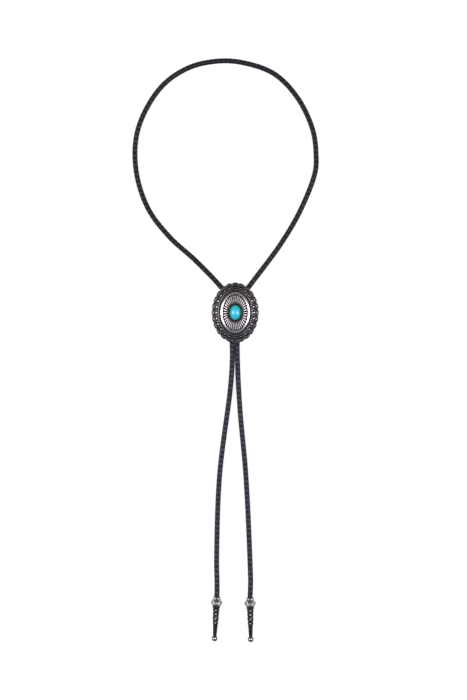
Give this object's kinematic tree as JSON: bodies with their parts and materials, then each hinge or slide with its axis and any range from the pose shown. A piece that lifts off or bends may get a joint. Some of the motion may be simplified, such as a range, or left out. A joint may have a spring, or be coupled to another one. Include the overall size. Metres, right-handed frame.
{
  "type": "bolo tie",
  "caption": "Bolo tie: oval cast concho with scalloped rim, fluted dome and turquoise cabochon, sliding on a braided neck cord with ball-ended metal tips, laid flat.",
  "frame": {"origin": "on the surface that the tie lies on, under the middle of the concho, at the clip's flat back", "axes": "+Z out of the concho's face, +Y along the concho's length towards the neck loop, +X to the right seen from the front; the tips lie towards -Y"},
  "size_m": [0.1523, 0.4764, 0.0149],
  "materials": {
    "concho_metal": "antiqued cast metal, dark in the grooves and polished on the raised parts",
    "turquoise": "polished turquoise stone, blue in the middle and greener at the edge",
    "clip_metal": "plain satin nickel",
    "braided_leather": "round braid of four smooth blue-black strands with a soft gloss",
    "tip_metal": "antiqued cast metal, darker than the concho, with a polished ball"
  },
  "bodies": {
    "root": {"concho": "concho_metal", "cabochon": "turquoise", "slide_clip": "clip_metal", "cord": "braided_leather", "tip_left": "tip_metal", "tip_right": "tip_metal"}
  },
  "joints": []
}
